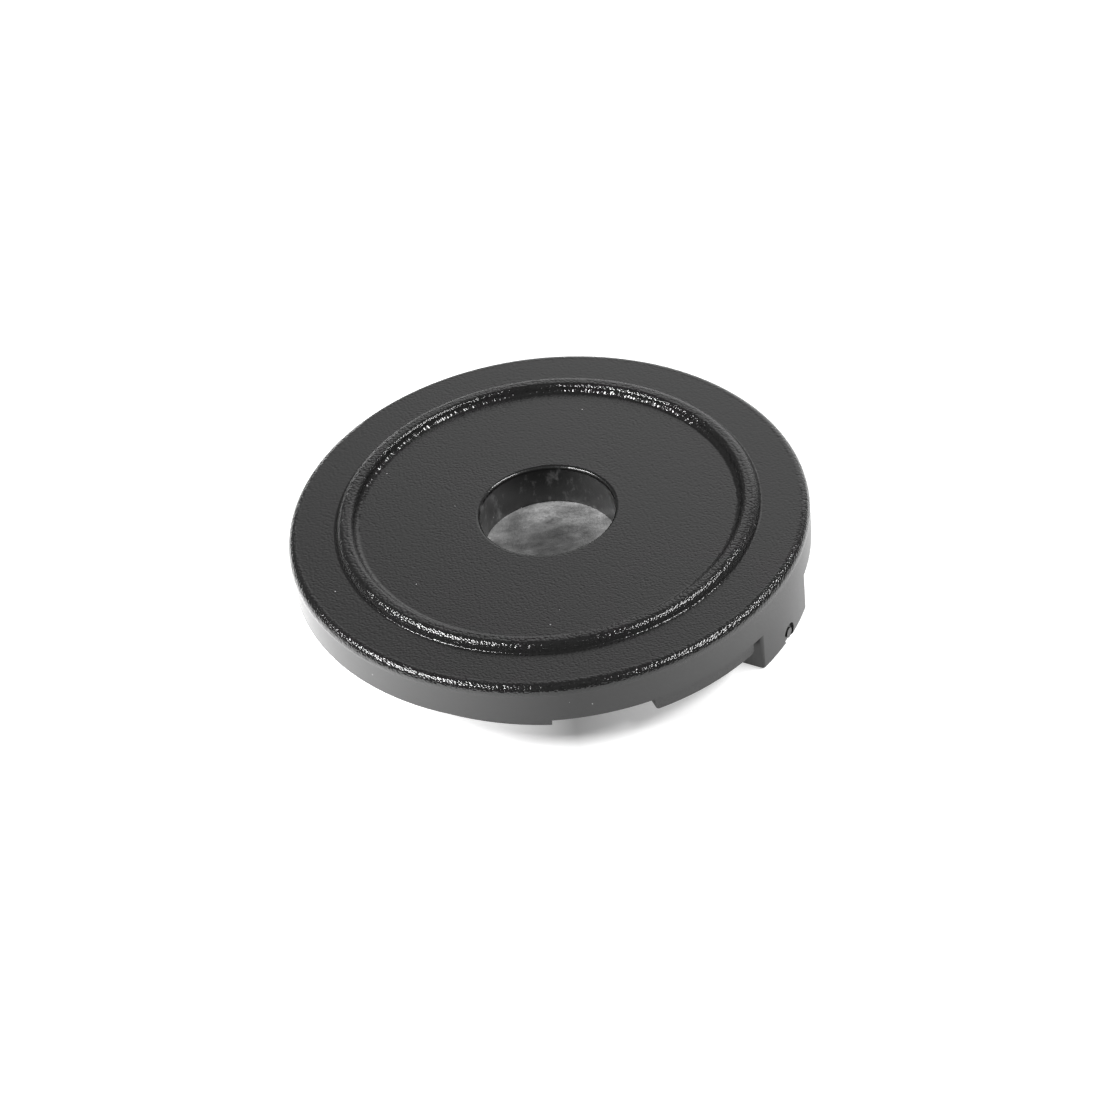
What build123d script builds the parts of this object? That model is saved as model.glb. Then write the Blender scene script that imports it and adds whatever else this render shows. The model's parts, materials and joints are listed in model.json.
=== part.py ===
"""Low round detacher for retail security tags.

A moulded cover with a central nest stands on two opposite legs. A magnet pack lies in the
ring-shaped space round the nest, a steel pole plate is the nest's floor, and a base plate screwed
on from below closes it all in.

Frame: millimetres, +Z up along the axis of the disc, origin on the axis at the level of the
legs' feet. At -Y is the side that faces the person at the counter.
"""

from build123d import *
import os

# ---- Driving dimensions -------------------------------------------------------------------

OUTER_DIAMETER = 60.0
LEG_LENGTH = 5.0                 # from the foot up to the lower edge of the skirt
SKIRT_HEIGHT = 4.8               # from the lower edge of the skirt up to the top face
CROWN_THICKNESS = 1.4
SKIRT_WALL = 2.0

NEST_DIAMETER = 15.6             # the round pocket that takes the nose of the tag
NEST_WALL = 1.2
NEST_DEPTH = 5.2                 # from the top face down to the pole plate

BEAD_CENTRE_RADIUS = 23.2        # the low raised ring that centres the tag
BEAD_CREST_WIDTH = 1.35
BEAD_INNER_RUN = 0.5             # how far its flanks spread down to the top face
BEAD_OUTER_RUN = 0.6
BEAD_HEIGHT = 0.95

LEG_COUNT = 2
FIRST_LEG_ANGLE = -33.0          # degrees from +X, the leg at the front right
LEG_WIDTH = 11.4
LEG_DEPTH = 4.1                  # measured inwards from the skirt's outer wall

SCREW_COUNT = 4
MAGNET_COUNT = 12
FIT_GAP = 0.15                   # between loose pieces inside the housing

# ---- Sizes worked out from them -----------------------------------------------------------

outer_radius = OUTER_DIAMETER / 2
nest_radius = NEST_DIAMETER / 2
tube_radius = nest_radius + NEST_WALL
cavity_radius = outer_radius - SKIRT_WALL
skirt_bottom = LEG_LENGTH
top_face = LEG_LENGTH + SKIRT_HEIGHT
crown_underside = top_face - CROWN_THICKNESS
nest_bottom = top_face - NEST_DEPTH
leg_pitch = 360.0 / LEG_COUNT
leg_angles = [FIRST_LEG_ANGLE + leg_pitch * index for index in range(LEG_COUNT)]

top_edge_radius = 1.0            # roundings of the cover's moulding
nest_edge_radius = 0.45
bead_foot_in_radius = 0.75
bead_crest_in_radius = 0.6
bead_crest_out_radius = 0.95
bead_foot_out_radius = 0.25
tube_root_radius = 0.3
leg_edge_radius = 0.4
foot_chamfer = 0.2
leg_core_overlap = 1.0           # the leg's part inside the skirt starts this deep in its lower block
leg_core_bottom = skirt_bottom - leg_core_overlap
weld_depth = 0.1                 # how far a leg or boss runs into the crown above it
leg_slot_gap = 0.25              # between a leg and the base plate's notch for it

gate_height = 1.0                # the gate scar low on the front right leg's outer wall
gate_scar_radius = 1.2
gate_scar_depth = 0.3
gate_stub_radius = 0.6

boss_circle_radius = 24.9        # screw bosses stand clear of the legs
boss_radius = 2.0
gusset_width = 1.2               # joins a boss to the skirt
gusset_bite = 0.5
boss_pitch = 360.0 / SCREW_COUNT
boss_angles = [FIRST_LEG_ANGLE + boss_pitch * (index + 0.5) for index in range(SCREW_COUNT)]
pilot_radius = 0.95
pilot_extra = 0.2                # the pilot holes run a little way into the crown
pilot_top = crown_underside + pilot_extra

plate_thickness = 1.4
plate_bottom = skirt_bottom - plate_thickness
plate_gap = 0.3                  # round the base plate, inside the skirt
plate_radius = cavity_radius - plate_gap
plate_top = plate_bottom + plate_thickness

pole_plate_thickness = 0.6
pole_plate_radius = tube_radius
pole_plate_bottom = nest_bottom - pole_plate_thickness
pole_plate_gap = 0.1             # round the pole plate, in its pocket
pole_pocket_radius = pole_plate_radius + pole_plate_gap
ledge_inner_radius = 6.5         # the base plate's ledge that carries the pole plate

rim_setback = 0.6                # the rim segments stand in from the skirt's outer wall
rim_overlap = 1.2                # and reach this far inwards over the base plate's edge
rim_outer_radius = outer_radius - rim_setback
rim_inner_radius = plate_radius - rim_overlap
rim_depth = 2.1                  # how far the level rim segments hang below the skirt
ramp_start_depth = 1.2           # the ramped segments rise from this depth
ramp_end_depth = 0.3             # to this one
rim_span = (-12.5, -39.5)        # degrees from the leg's centre
ramp_span = (-62.0, -98.0)
rim_corner_radius = 0.5

screw_head_radius = 1.9
screw_head_height = 1.1
screw_clearance = 0.15
head_clearance = 0.1
countersink_angle = 82
screw_shank_radius = 0.9
screw_length = 4.6
drive_arm_width = 0.45
drive_arm_length = 1.9
drive_depth = 0.6

tube_gap = 0.4                   # between the nest's tube and the magnet pack round it
pack_inner_radius = tube_radius + tube_gap
pack_outer_radius = 22.4
yoke_thickness = 0.8
pad_thickness = 0.4
magnet_bottom = skirt_bottom + yoke_thickness
magnet_top = crown_underside - pad_thickness
ring_magnet_radius = 14.5
ring_magnet_height = 1.5
carrier_inner_radius = ring_magnet_radius + FIT_GAP
carrier_wall = 1.1
pocket_inner_radius = carrier_inner_radius + carrier_wall
pocket_outer_radius = pack_outer_radius - carrier_wall
fin_width = 1.0
fin_inset = 0.2                  # keeps a fin's square end inside the carrier's round wall
magnet_chamfer = 0.15


def leg_footprint(margin):
    """Outline of one leg on the +X axis, grown by a margin on its three inner sides."""
    with BuildSketch() as outline:
        with Locations((outer_radius - LEG_DEPTH - margin, 0)):
            Rectangle(LEG_DEPTH * 2, LEG_WIDTH + 2 * margin, align=(Align.MIN, Align.CENTER))
        Circle(outer_radius, mode=Mode.INTERSECT)
    return outline.sketch


def ring_sector(inner_radius, outer_radius_of_sector, start_angle, end_angle):
    """Flat piece of a ring between two radii and two angles in degrees."""
    sweep_angle = end_angle - start_angle
    with BuildSketch() as sector:
        with BuildLine():
            outer = CenterArc((0, 0), outer_radius_of_sector, start_angle, sweep_angle)
            inner = CenterArc((0, 0), inner_radius, start_angle, sweep_angle)
            Line(outer @ 0, inner @ 0)
            Line(outer @ 1, inner @ 1)
        make_face()
    return sector.sketch


# ---- Top cover ----------------------------------------------------------------------------

bead_top = top_face + BEAD_HEIGHT
bead_crest_in = BEAD_CENTRE_RADIUS - BEAD_CREST_WIDTH / 2
bead_crest_out = BEAD_CENTRE_RADIUS + BEAD_CREST_WIDTH / 2
bead_inner_foot = (bead_crest_in - BEAD_INNER_RUN, top_face)
bead_inner_crest = (bead_crest_in, bead_top)
bead_outer_crest = (bead_crest_out, bead_top)
bead_outer_foot = (bead_crest_out + BEAD_OUTER_RUN, top_face)

cover_outline = [
    bead_inner_foot,
    bead_inner_crest,
    bead_outer_crest,
    bead_outer_foot,
    (outer_radius, top_face),
    (outer_radius, skirt_bottom),
    (cavity_radius, skirt_bottom),
    (cavity_radius, crown_underside),
    (tube_radius, crown_underside),
    (tube_radius, nest_bottom),
    (nest_radius, nest_bottom),
    (nest_radius, top_face),
]
cover_roundings = [
    ((nest_radius, top_face), nest_edge_radius),
    (bead_inner_foot, bead_foot_in_radius),
    (bead_inner_crest, bead_crest_in_radius),
    (bead_outer_crest, bead_crest_out_radius),
    (bead_outer_foot, bead_foot_out_radius),
    ((outer_radius, top_face), top_edge_radius),
    ((tube_radius, crown_underside), tube_root_radius),
]

with BuildPart() as leg:
    with BuildSketch():
        add(leg_footprint(0))
    extrude(amount=skirt_bottom)
    fillet(leg.edges().filter_by(Axis.Z), radius=leg_edge_radius)
    chamfer(leg.faces().sort_by(Axis.Z)[0].edges(), length=foot_chamfer)
    with BuildSketch(Plane.XY.offset(leg_core_bottom)):
        with Locations((outer_radius - LEG_DEPTH + leg_edge_radius, 0)):
            Rectangle(LEG_DEPTH - SKIRT_WALL, LEG_WIDTH - 2 * leg_edge_radius,
                      align=(Align.MIN, Align.CENTER))
    extrude(amount=crown_underside + weld_depth - leg_core_bottom)

with BuildPart() as top_cover:
    with BuildSketch(Plane.XZ) as cover_section:
        with BuildLine():
            Polyline(*cover_outline, close=True)
        make_face()
        for corner, rounding in cover_roundings:
            fillet(cover_section.vertices().sort_by_distance(corner)[0], radius=rounding)
    revolve(axis=Axis.Z)

    for angle in leg_angles:
        add(leg.part, rotation=(0, 0, angle))

    with BuildSketch(Plane.XY.offset(skirt_bottom)) as boss_sketch:
        for angle in boss_angles:
            with PolarLocations(boss_circle_radius, 1, start_angle=angle):
                Circle(boss_radius)
                Rectangle(cavity_radius + gusset_bite - boss_circle_radius, gusset_width,
                          align=(Align.MIN, Align.CENTER))
    extrude(amount=crown_underside + weld_depth - skirt_bottom)
    with BuildSketch(Plane.XY.offset(skirt_bottom)) as pilot_sketch:
        for angle in boss_angles:
            with PolarLocations(boss_circle_radius, 1, start_angle=angle):
                Circle(pilot_radius)
    extrude(amount=pilot_top - skirt_bottom, mode=Mode.SUBTRACT)

    gate_plane = Plane(origin=Vector(outer_radius, 0, gate_height).rotate(Axis.Z, FIRST_LEG_ANGLE),
                       z_dir=Vector(1, 0, 0).rotate(Axis.Z, FIRST_LEG_ANGLE))
    with BuildSketch(gate_plane.offset(-gate_scar_depth)) as scar_sketch:
        Circle(gate_scar_radius)
        Circle(gate_stub_radius, mode=Mode.SUBTRACT)
    extrude(amount=2 * gate_scar_depth, mode=Mode.SUBTRACT)

top_cover.part.label = "top_cover"

# ---- Base plate ---------------------------------------------------------------------------

ramp_start = Vector(rim_outer_radius, 0, skirt_bottom - ramp_start_depth).rotate(Axis.Z, ramp_span[0])
ramp_end = Vector(rim_outer_radius, 0, skirt_bottom - ramp_end_depth).rotate(Axis.Z, ramp_span[1])
ramp_outward = Vector(1, 0, 0).rotate(Axis.Z, (ramp_span[0] + ramp_span[1]) / 2)

with BuildPart() as rim_ramp:
    with BuildSketch(Plane.XY.offset(skirt_bottom - ramp_start_depth)):
        add(ring_sector(rim_inner_radius, rim_outer_radius, ramp_span[1], ramp_span[0]))
    extrude(amount=ramp_start_depth)
    split(bisect_by=Plane(origin=ramp_start, z_dir=ramp_outward.cross(ramp_start - ramp_end)), keep=Keep.TOP)

with BuildPart() as base_plate:
    with BuildSketch(Plane.XY.offset(plate_bottom)):
        Circle(plate_radius)
        Circle(ledge_inner_radius, mode=Mode.SUBTRACT)
    extrude(amount=plate_thickness)
    with BuildSketch(Plane.XY.offset(pole_plate_bottom)):
        Circle(pole_pocket_radius)
    extrude(amount=plate_top - pole_plate_bottom, mode=Mode.SUBTRACT)

    with BuildSketch(Plane.XY.offset(skirt_bottom - rim_depth)):
        for angle in leg_angles:
            add(ring_sector(rim_inner_radius, rim_outer_radius, angle + rim_span[1], angle + rim_span[0]))
    extrude(amount=rim_depth)
    rim_foot_edges = base_plate.edges().filter_by(GeomType.LINE).group_by(Axis.Z)[0]
    fillet(rim_foot_edges, radius=rim_corner_radius)
    for angle in leg_angles:
        add(rim_ramp.part, rotation=(0, 0, angle))

    with BuildSketch(Plane.XY.offset(plate_bottom)):
        for angle in leg_angles:
            add(leg_footprint(leg_slot_gap), rotation=angle)
    extrude(amount=plate_thickness, mode=Mode.SUBTRACT)

    for angle in boss_angles:
        screw_place = Vector(boss_circle_radius, 0, plate_bottom).rotate(Axis.Z, angle)
        with Locations(Plane(origin=screw_place, z_dir=(0, 0, -1))):
            CounterSinkHole(radius=screw_shank_radius + screw_clearance,
                            counter_sink_radius=screw_head_radius + head_clearance,
                            depth=plate_thickness, counter_sink_angle=countersink_angle)

base_plate.part.label = "base_plate"

# ---- Base screws --------------------------------------------------------------------------

with BuildPart() as base_screws:
    for angle in boss_angles:
        screw_place = Vector(boss_circle_radius, 0, plate_bottom).rotate(Axis.Z, angle)
        with BuildSketch(Plane(origin=screw_place, x_dir=(1, 0, 0), z_dir=(0, 0, 1))):
            Circle(screw_shank_radius)
        extrude(amount=screw_length)
        with Locations(Location(screw_place)):
            Cone(screw_head_radius, screw_shank_radius, screw_head_height,
                 align=(Align.CENTER, Align.CENTER, Align.MIN))
        with BuildSketch(Plane(origin=screw_place, x_dir=(1, 0, 0), z_dir=(0, 0, 1))):
            Rectangle(drive_arm_length, drive_arm_width)
            Rectangle(drive_arm_width, drive_arm_length)
        extrude(amount=drive_depth, mode=Mode.SUBTRACT)

base_screws.part.label = "base_screws"

# ---- Pole plate, the floor of the nest ----------------------------------------------------

with BuildPart() as pole_plate:
    with BuildSketch(Plane.XY.offset(pole_plate_bottom)):
        Circle(pole_plate_radius)
    extrude(amount=pole_plate_thickness)

pole_plate.part.label = "pole_plate"

# ---- Yoke plate ---------------------------------------------------------------------------

with BuildPart() as yoke_plate:
    with BuildSketch(Plane.XY.offset(skirt_bottom)):
        Circle(pack_outer_radius)
        Circle(pack_inner_radius, mode=Mode.SUBTRACT)
    extrude(amount=yoke_thickness)

yoke_plate.part.label = "yoke_plate"

# ---- Ring magnet and the pole ring on it --------------------------------------------------

with BuildPart() as ring_magnet:
    with BuildSketch(Plane.XY.offset(magnet_bottom)):
        Circle(ring_magnet_radius)
        Circle(pack_inner_radius, mode=Mode.SUBTRACT)
    extrude(amount=ring_magnet_height)
    chamfer(ring_magnet.edges().filter_by(GeomType.CIRCLE), length=magnet_chamfer)

ring_magnet.part.label = "ring_magnet"

with BuildPart() as pole_ring:
    with BuildSketch(Plane.XY.offset(magnet_bottom + ring_magnet_height)):
        Circle(ring_magnet_radius)
        Circle(pack_inner_radius, mode=Mode.SUBTRACT)
    extrude(amount=magnet_top - magnet_bottom - ring_magnet_height)

pole_ring.part.label = "pole_ring"

# ---- Magnet carrier -----------------------------------------------------------------------

magnet_pitch = 360.0 / MAGNET_COUNT

with BuildPart() as magnet_carrier:
    with BuildSketch(Plane.XY.offset(magnet_bottom)):
        Circle(pack_outer_radius)
        Circle(pocket_outer_radius, mode=Mode.SUBTRACT)
        Circle(pocket_inner_radius)
        Circle(carrier_inner_radius, mode=Mode.SUBTRACT)
        for index in range(MAGNET_COUNT):
            with PolarLocations(carrier_inner_radius, 1, start_angle=magnet_pitch * (index + 0.5)):
                Rectangle(pack_outer_radius - carrier_inner_radius - fin_inset, fin_width,
                          align=(Align.MIN, Align.CENTER))
    extrude(amount=magnet_top - magnet_bottom)

magnet_carrier.part.label = "magnet_carrier"

# ---- Arc magnets --------------------------------------------------------------------------

arc_inner_radius = pocket_inner_radius + FIT_GAP
arc_outer_radius = pocket_outer_radius - FIT_GAP
arc_magnets = []

for index in range(MAGNET_COUNT):
    with BuildPart() as arc_magnet:
        with BuildSketch(Plane.XY.offset(magnet_bottom)):
            add(ring_sector(arc_inner_radius, arc_outer_radius, -magnet_pitch / 2, magnet_pitch / 2))
            for side in (-1, 1):
                with Locations(Location((0, 0, 0), side * magnet_pitch / 2)):
                    Rectangle(pack_outer_radius, fin_width + 2 * FIT_GAP,
                              align=(Align.MIN, Align.CENTER), mode=Mode.SUBTRACT)
        extrude(amount=magnet_top - magnet_bottom)
        chamfer(arc_magnet.edges(), length=magnet_chamfer)
    arc_magnet.part = arc_magnet.part.rotate(Axis.Z, magnet_pitch * index)
    arc_magnet.part.label = f"arc_magnet_{index + 1:02d}"
    arc_magnets.append(arc_magnet)

# ---- Foam pad -----------------------------------------------------------------------------

with BuildPart() as foam_pad:
    with BuildSketch(Plane.XY.offset(magnet_top)):
        Circle(pack_outer_radius)
        Circle(pack_inner_radius, mode=Mode.SUBTRACT)
    extrude(amount=pad_thickness)

foam_pad.part.label = "foam_pad"

# ---- Files --------------------------------------------------------------------------------

os.makedirs("parts", exist_ok=True)
export_step(top_cover.part, "parts/top_cover.step")
export_step(base_plate.part, "parts/base_plate.step")
export_step(base_screws.part, "parts/base_screws.step")
export_step(pole_plate.part, "parts/pole_plate.step")
export_step(yoke_plate.part, "parts/yoke_plate.step")
export_step(ring_magnet.part, "parts/ring_magnet.step")
export_step(pole_ring.part, "parts/pole_ring.step")
export_step(magnet_carrier.part, "parts/magnet_carrier.step")
export_step(foam_pad.part, "parts/foam_pad.step")
for arc_magnet in arc_magnets:
    export_step(arc_magnet.part, f"parts/{arc_magnet.part.label}.step")
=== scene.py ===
"""Looks of the round tag detacher: materials, fine moulding detail, studio and camera."""

import json
import math

import bmesh
import bpy
from mathutils import Matrix, Vector


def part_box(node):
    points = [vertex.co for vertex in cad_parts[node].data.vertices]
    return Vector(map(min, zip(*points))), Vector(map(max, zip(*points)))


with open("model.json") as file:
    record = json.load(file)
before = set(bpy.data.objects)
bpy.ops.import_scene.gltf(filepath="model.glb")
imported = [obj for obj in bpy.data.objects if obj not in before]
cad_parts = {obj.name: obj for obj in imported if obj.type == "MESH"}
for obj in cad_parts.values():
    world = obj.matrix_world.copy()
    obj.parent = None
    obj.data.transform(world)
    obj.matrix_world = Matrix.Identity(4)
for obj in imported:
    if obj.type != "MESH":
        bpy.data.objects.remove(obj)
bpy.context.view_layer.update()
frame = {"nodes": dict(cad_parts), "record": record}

MM = 0.001

# ---- Measures taken from the CAD -----------------------------------------------------------

CREST_BAND = 0.01 * MM           # points this close to the highest one are on the bead's crest

cover_low, cover_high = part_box("top_cover")
outer_radius = (cover_high.x - cover_low.x) / 2
mounts = {mount["name"]: mount for mount in frame["record"]["mounts"]}
top_face = mounts["tag_face"]["pos_m"][2]
nest_radius = mounts["nest_bore"]["dims"]["r_mm"] * MM
cover_points = [vertex.co for vertex in frame["nodes"]["top_cover"].data.vertices]
crest = [point for point in cover_points if point.z > cover_high.z - CREST_BAND]
bead_radius = sum(math.hypot(point.x, point.y) for point in crest) / len(crest)

# ---- Surface measures of the cover ---------------------------------------------------------

# Each pair says where a texture starts to change and where the change is complete.
WALL_TO_GRAIN = (1.3 * MM, 0.7 * MM)     # depth below the top face
NEST_TO_GRAIN = (0.05 * MM, 0.25 * MM)   # distance outside the nest's wall
BEAD_TO_FLAT = (1.1 * MM, 1.5 * MM)      # distance from the bead's crest
FLAT_TO_RIM = (1.2 * MM, 0.8 * MM)       # distance inside the outer edge
NEST_WALL_MARGIN = 0.1 * MM              # outside the nest's radius, still counted as its wall

PEBBLE_SIZE = 0.31 * MM
FINE_GRAIN_SIZE = 0.2 * MM
GRAIN_DEPTH = 0.05 * MM
WALL_GRAIN = 0.02                        # share of the grain's depth that is left on the walls
FLAT_PEBBLES, ROUNDED_PEBBLES = 0.31, 1.1
FLAT_FINE_GRAIN, ROUNDED_FINE_GRAIN = 0.53, 0.1
WALL_ROUGHNESS, FLAT_ROUGHNESS, ROUNDED_ROUGHNESS = 0.3, 0.22, 0.17

DUST_SPACING, DUST_SIZE = 3 * MM, 0.07 * MM
NEST_DUST_SPACING, NEST_DUST_SIZE = 1.4 * MM, 0.09 * MM
EMPTY_CELLS = 0.5                        # share of the cells without a speck of dust

# ---- Small helpers for node materials ------------------------------------------------------


class Nodes:
    """A short way to write a procedural material."""

    def __init__(self, name):
        self.material = bpy.data.materials.new(name)
        self.material.use_nodes = True
        self.tree = self.material.node_tree
        self.shader = self.tree.nodes["Principled BSDF"]
        coordinates = self.tree.nodes.new("ShaderNodeTexCoord")
        self.place = coordinates.outputs["Object"]

    def add(self, kind, inputs=(), **settings):
        """A new node; inputs is a list of (socket, value or other socket)."""
        node = self.tree.nodes.new(kind)
        for key, value in settings.items():
            setattr(node, key, value)
        for socket, value in inputs:
            self.put(node.inputs[socket], value)
        return node

    def put(self, socket, value):
        """Set a socket to a value, or link it to another socket."""
        if isinstance(value, bpy.types.NodeSocket):
            self.tree.links.new(value, socket)
        else:
            socket.default_value = value

    def math(self, operation, first, second=0.0, third=0.0):
        inputs = [(0, first), (1, second), (2, third)]
        return self.add("ShaderNodeMath", inputs, operation=operation).outputs[0]

    def vector_math(self, operation, first, second=(0, 0, 0)):
        """The node itself, because the result's socket depends on the operation."""
        return self.add("ShaderNodeVectorMath", [(0, first), (1, second)], operation=operation)

    def axis(self, letter):
        return self.add("ShaderNodeSeparateXYZ", [(0, self.place)]).outputs[letter]

    def radius(self):
        """Distance from the disc's axis."""
        flat = self.vector_math("MULTIPLY", self.place, (1, 1, 0))
        return self.vector_math("LENGTH", flat.outputs[0]).outputs["Value"]

    def spread(self, value):
        """The same number in all three channels."""
        return self.add("ShaderNodeCombineXYZ", [(0, value), (1, value), (2, value)]).outputs[0]

    def noise(self, size, detail=2.0, roughness=0.5, stretch=(1, 1, 1)):
        """Noise with features of about that size, in metres."""
        place = self.vector_math("MULTIPLY", self.place, stretch)
        inputs = [("Vector", place.outputs[0]), ("Scale", 1 / size), ("Detail", detail),
                  ("Roughness", roughness)]
        return self.add("ShaderNodeTexNoise", inputs).outputs["Fac"]

    def cells(self, size):
        """Cells of about that size, each with its own colour and the distance from its point."""
        return self.add("ShaderNodeTexVoronoi", [("Vector", self.place), ("Scale", 1 / size)])

    def pebbles(self, size):
        """Rounded bumps of about that size side by side, 1 at their tops."""
        distance = self.cells(size).outputs["Distance"]
        return self.math("SUBTRACT", 1.0, self.math("MULTIPLY", distance, distance))

    def specks(self, spacing, size, emptiness):
        """1 in small round specks of dust, one in each cell that is not left empty."""
        cells = self.cells(spacing)
        near = self.math("LESS_THAN", cells.outputs["Distance"], size / spacing)
        chance = self.add("ShaderNodeSeparateColor", [(0, cells.outputs["Color"])]).outputs[0]
        return self.math("MULTIPLY", near, self.math("GREATER_THAN", chance, emptiness))

    def remap(self, value, low, high, new_low=0.0, new_high=1.0):
        inputs = [("Value", value), ("From Min", low), ("From Max", high), ("To Min", new_low),
                  ("To Max", new_high)]
        return self.add("ShaderNodeMapRange", inputs).outputs[0]

    def mix(self, factor, first, second):
        """Blend of two colours; its colour sockets share names, so they go by number."""
        node = self.add("ShaderNodeMix", data_type="RGBA")
        self.put(node.inputs[0], factor)
        self.put(node.inputs[6], first)
        self.put(node.inputs[7], second)
        return node.outputs[2]

    def bump(self, height, depth):
        """Bump from a height of 0 to 1 that stands for that depth in metres."""
        inputs = [("Height", height), ("Strength", 1.0), ("Distance", depth)]
        return self.add("ShaderNodeBump", inputs).outputs["Normal"]

    def set(self, **values):
        """Set or link the main shader's sockets by short names."""
        names = {"color": "Base Color", "roughness": "Roughness", "metallic": "Metallic",
                 "specular": "Specular IOR Level", "normal": "Normal",
                 "glow_color": "Emission Color", "glow": "Emission Strength"}
        for key, value in values.items():
            self.put(self.shader.inputs[names[key]], value)


def grey(value):
    return (value, value, value, 1.0)


# ---- Materials -----------------------------------------------------------------------------


def moulded_cover():
    """Black ABS: spark-eroded grain on the top, smooth walls, rubbed marks in the nest."""
    n = Nodes("moulded_cover")

    # Masks: 1 on the grained top, on its rounded bead and rim, and on the nest's wall.
    height, radius = n.axis("Z"), n.radius()
    above_walls = n.remap(height, top_face - WALL_TO_GRAIN[0], top_face - WALL_TO_GRAIN[1])
    outside_nest = n.remap(radius, nest_radius + NEST_TO_GRAIN[0], nest_radius + NEST_TO_GRAIN[1])
    grained = n.math("MULTIPLY", above_walls, outside_nest)
    from_bead = n.math("ABSOLUTE", n.math("SUBTRACT", radius, bead_radius))
    on_bead = n.remap(from_bead, BEAD_TO_FLAT[0], BEAD_TO_FLAT[1], 1, 0)
    on_rim = n.remap(radius, outer_radius - FLAT_TO_RIM[0], outer_radius - FLAT_TO_RIM[1])
    rounded = n.math("MULTIPLY", above_walls, n.math("MAXIMUM", on_bead, on_rim))
    in_nest = n.math("LESS_THAN", radius, nest_radius + NEST_WALL_MARGIN)

    # Grain: pebbles that catch the light on the rounded parts, with finer noise between them.
    fine_amount = n.remap(rounded, 0, 1, FLAT_FINE_GRAIN, ROUNDED_FINE_GRAIN)
    fine_noise = n.noise(FINE_GRAIN_SIZE, detail=1.0, stretch=(0.7, 1, 1))
    fine = n.math("MULTIPLY", fine_noise, fine_amount)
    pebble_amount = n.remap(rounded, 0, 1, FLAT_PEBBLES, ROUNDED_PEBBLES)
    grain = n.math("MULTIPLY_ADD", n.pebbles(PEBBLE_SIZE), pebble_amount, fine)
    grain_height = n.math("MULTIPLY", grain, n.remap(grained, 0, 1, WALL_GRAIN, 1.0))

    # Colours: grain by its height, cloudy walls, light smears on the nest's wall, dust.
    top = n.mix(n.remap(grain, 0.35, 1.1), grey(0.002), grey(0.006))
    cloudy = n.mix(n.noise(6 * MM), grey(0.012), grey(0.016))
    smear = n.noise(1.5 * MM, detail=5.0, roughness=0.7, stretch=(1, 1, 0.6))
    rubbed = n.mix(n.remap(smear, 0.54, 0.68), grey(0.001), grey(0.07))
    walls = n.mix(in_nest, cloudy, rubbed)
    moulded = n.mix(grained, walls, top)
    nest_specks = n.specks(NEST_DUST_SPACING, NEST_DUST_SIZE, EMPTY_CELLS)
    nest_dust = n.math("MULTIPLY", in_nest, nest_specks)
    dust = n.math("MAXIMUM", n.specks(DUST_SPACING, DUST_SIZE, EMPTY_CELLS), nest_dust)

    not_rounded = n.remap(grained, 0, 1, WALL_ROUGHNESS, FLAT_ROUGHNESS)
    n.set(
        color=n.mix(dust, moulded, grey(0.25)),
        roughness=n.remap(rounded, 0, 1, not_rounded, ROUNDED_ROUGHNESS),
        normal=n.bump(grain_height, GRAIN_DEPTH),
    )
    return n.material


def smooth_black():
    """Black ABS of the base plate, a little greyer than the cover, rubbed here and there."""
    n = Nodes("smooth_black")
    grain = n.noise(0.25 * MM, detail=3.0)
    flow = n.noise(5 * MM, detail=4.0, roughness=0.6, stretch=(1, 0.35, 1))
    n.set(
        color=n.mix(n.remap(flow, 0.35, 0.7), grey(0.014), grey(0.028)),
        roughness=n.remap(flow, 0.3, 0.7, 0.34, 0.5),
        normal=n.bump(grain, 0.02 * MM),
    )
    return n.material


def plated(name, color, roughness):
    """Bright metal whose gloss changes a little from place to place."""
    n = Nodes(name)
    n.set(
        color=color,
        metallic=1.0,
        roughness=n.remap(n.noise(2 * MM), 0.3, 0.7, roughness - 0.05, roughness + 0.08),
        normal=n.bump(n.noise(0.1 * MM), 0.003 * MM),
    )
    return n.material


def galvanised():
    """Matt, mottled zinc of the pole plate, with painted shade in the middle and painted light
    towards the nest's wall.
    """
    n = Nodes("galvanised")
    mottle = n.noise(1.6 * MM, detail=4.0, roughness=0.65, stretch=(0.6, 1, 1))
    pits = n.noise(0.35 * MM, detail=3.0, roughness=0.6)
    zinc = n.mix(n.remap(mottle, 0.3, 0.7), grey(0.1), grey(0.25))
    # painted light and shade: the zinc is brighter towards the nest's wall and darker in the
    # middle
    painted_edge_light = n.remap(n.radius(), 0.3 * nest_radius, nest_radius, 0.6, 2.9)
    n.set(
        color=n.vector_math("MULTIPLY", zinc, n.spread(painted_edge_light)).outputs[0],
        metallic=1.0,
        roughness=n.remap(pits, 0.3, 0.7, 0.6, 0.8),
        normal=n.bump(pits, 0.06 * MM),
    )
    return n.material


def nylon():
    """Natural nylon of the magnet carrier."""
    n = Nodes("natural_nylon")
    ripple = n.bump(n.noise(0.3 * MM), 0.01 * MM)
    n.set(color=(0.62, 0.6, 0.54, 1), roughness=0.45, normal=ripple)
    return n.material


def foam():
    """Dark open foam of the thin pad."""
    n = Nodes("pad_foam")
    pores = n.bump(n.noise(0.2 * MM, detail=4), 0.06 * MM)
    n.set(color=grey(0.03), roughness=0.9, normal=pores)
    return n.material


by_slot = {
    "cover_plastic": moulded_cover(),
    "base_plastic": smooth_black(),
    "carrier_nylon": nylon(),
    "pad_foam": foam(),
    "pole_steel": galvanised(),
    "plated_steel": plated("plated_steel", (0.56, 0.57, 0.58, 1), 0.32),
    "magnet_nickel": plated("magnet_nickel", (0.66, 0.64, 0.6, 1), 0.16),
    "screw_steel": plated("screw_steel", (0.5, 0.5, 0.5, 1), 0.3),
}
for part in frame["record"]["subparts"]:
    node = frame["nodes"][part["node"]]
    node.data.materials.clear()
    node.data.materials.append(by_slot[part["material_slot"]])

# ---- Studio --------------------------------------------------------------------------------

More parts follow.
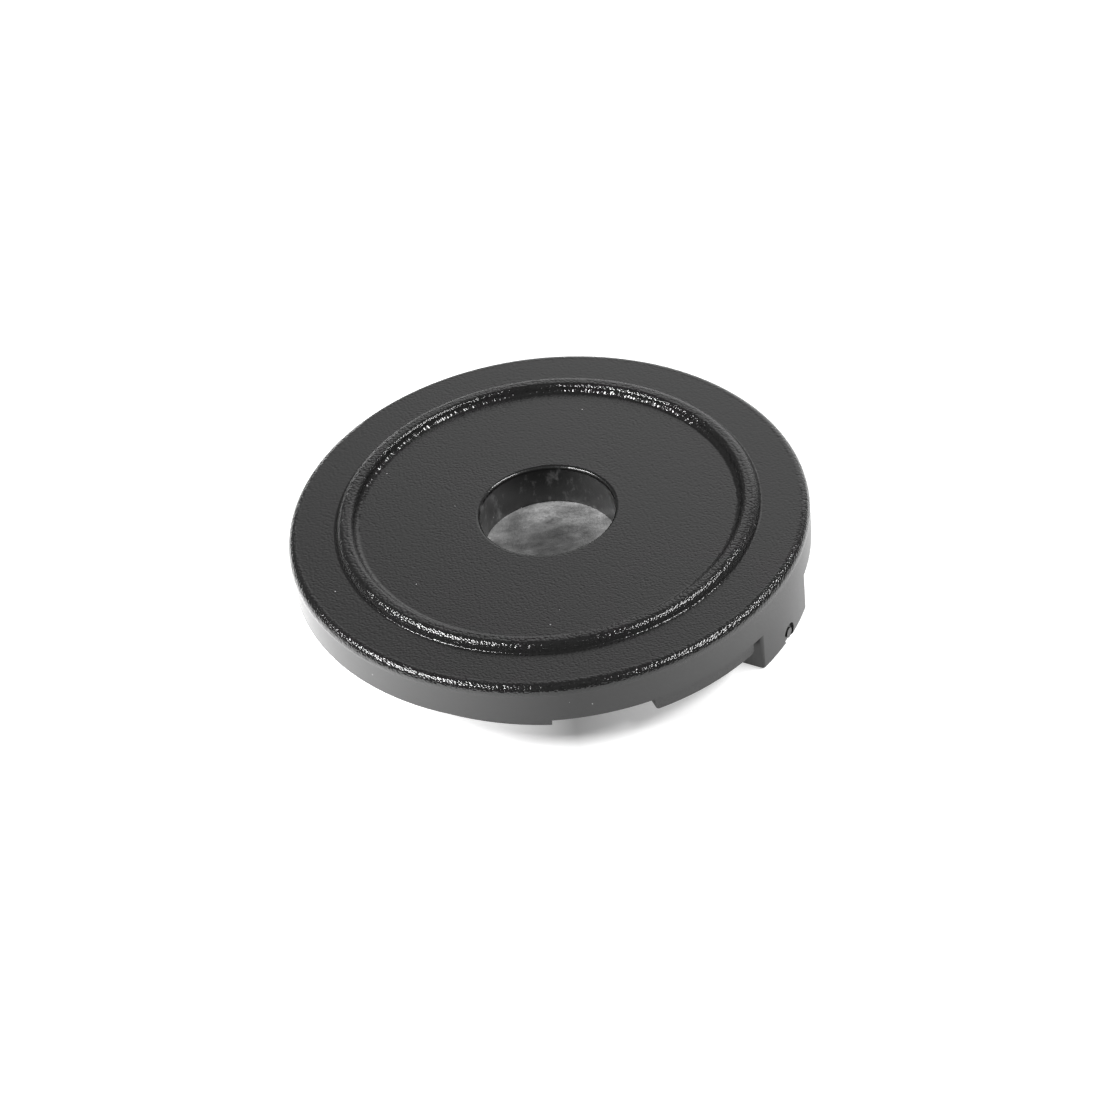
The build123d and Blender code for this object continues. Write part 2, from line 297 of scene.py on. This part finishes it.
FLOOR_SIZE = 40 * outer_radius   # wide enough to fill every view
FLOOR_GAP = 0.02 * MM            # keeps the table out of the feet's own plane
LEFT_GLOW = 1.9                  # painted glow that the table gives off under the disc's left edge
MIDDLE_GLOW = 0.2                # and under its middle
ADDED_RIGHT_GLOW = 0.6           # what comes on top of that under its right edge


def make_floor():
    """A plain pale table with painted glow at the sides, painted light which the skirt reflects.
    """
    mesh = bpy.data.meshes.new("floor")
    floor = bpy.data.objects.new("floor", mesh)
    bpy.context.scene.collection.objects.link(floor)
    builder = bmesh.new()
    bmesh.ops.create_grid(builder, x_segments=2, y_segments=2, size=FLOOR_SIZE)
    builder.to_mesh(mesh)
    builder.free()
    floor.location.z = cover_low.z - FLOOR_GAP
    n = Nodes("painted_glow_table")
    # painted light: the table glows more towards the disc's left and right edges, to lighten the
    # skirt's reflection there
    left = n.remap(n.axis("X"), -outer_radius, 0, LEFT_GLOW, MIDDLE_GLOW)
    right = n.remap(n.axis("X"), 0, outer_radius, 0, ADDED_RIGHT_GLOW)
    n.set(
        color=grey(0.62),
        roughness=0.9,
        specular=0.2,
        glow_color=grey(1.0),
        glow=n.math("ADD", left, right),
    )
    mesh.materials.append(n.material)


def direction(azimuth, elevation):
    """Unit vector from angles in degrees; azimuth 0 is +X and 90 is +Y, the far side."""
    a, e = math.radians(azimuth), math.radians(elevation)
    return Vector((math.cos(a) * math.cos(e), math.sin(a) * math.cos(e), math.sin(e)))


def area_light(name, toward, distance, width, height, power):
    """A soft panel that stands in that direction and faces the detacher."""
    light = bpy.data.lights.new(name, "AREA")
    light.shape = "RECTANGLE"
    light.size = width
    light.size_y = height
    light.energy = power
    holder = bpy.data.objects.new(name, light)
    bpy.context.scene.collection.objects.link(holder)
    holder.location = toward * distance
    holder.rotation_euler = toward.to_track_quat("Z", "Y").to_euler()


def make_world(dim, glow, toward, inner_angle, outer_angle):
    """A dim room with one soft pale glow, like a white wall behind the table."""
    world = bpy.data.worlds.new("studio")
    world.use_nodes = True
    tree = world.node_tree
    background = tree.nodes["Background"]
    background.inputs["Color"].default_value = grey(1.0)
    coordinates = tree.nodes.new("ShaderNodeTexCoord")
    aligned = tree.nodes.new("ShaderNodeVectorMath")
    aligned.operation = "DOT_PRODUCT"
    aligned.inputs[1].default_value = toward
    tree.links.new(coordinates.outputs["Generated"], aligned.inputs[0])
    falloff = tree.nodes.new("ShaderNodeMapRange")
    falloff.interpolation_type = "SMOOTHSTEP"
    falloff.inputs["From Min"].default_value = math.cos(math.radians(outer_angle))
    falloff.inputs["From Max"].default_value = math.cos(math.radians(inner_angle))
    falloff.inputs["To Min"].default_value = dim
    falloff.inputs["To Max"].default_value = glow
    tree.links.new(aligned.outputs["Value"], falloff.inputs["Value"])
    tree.links.new(falloff.outputs[0], background.inputs["Strength"])
    bpy.context.scene.world = world


make_floor()
make_world(dim=0.25, glow=1.4, toward=direction(72, 25), inner_angle=6, outer_angle=36)
area_light("left_softbox", direction(197, 47), distance=0.3, width=0.17, height=0.03, power=1.4)
area_light("right_softbox", direction(-15, 48), distance=0.6, width=0.34, height=0.06, power=3.4)

# ---- Camera --------------------------------------------------------------------------------

CAMERA_DISTANCE = 11.2 * outer_radius
CAMERA_ELEVATION = 40.0          # degrees above the table
CAMERA_AZIMUTH = -0.5            # degrees round towards +X from straight in front
CAMERA_ROLL = -7.0               # the disc leans to the left in the picture
AIM = Vector((-0.26, -1.57, 5.0)) * MM
SENSOR_WIDTH = 36.0              # mm
FOCAL_WIDTHS = 2.65              # focal length over the picture's width
NEAR_CLIP, FAR_CLIP = 0.01, 10.0


def make_camera():
    """The camera at the picture's viewing angle."""
    data = bpy.data.cameras.new("camera")
    data.sensor_width = SENSOR_WIDTH
    data.lens = SENSOR_WIDTH * FOCAL_WIDTHS
    data.clip_start = NEAR_CLIP
    data.clip_end = FAR_CLIP
    camera = bpy.data.objects.new("camera", data)
    bpy.context.scene.collection.objects.link(camera)
    a, e = math.radians(CAMERA_AZIMUTH), math.radians(CAMERA_ELEVATION)
    back = Vector((math.sin(a) * math.cos(e), -math.cos(a) * math.cos(e), math.sin(e)))
    camera.location = AIM + back * CAMERA_DISTANCE
    level = back.to_track_quat("Z", "Y").to_matrix()
    turn = level @ Matrix.Rotation(math.radians(CAMERA_ROLL), 3, "Z")
    camera.rotation_euler = turn.to_euler()
    bpy.context.scene.camera = camera


make_camera()
bpy.context.scene.view_settings.view_transform = "Standard"
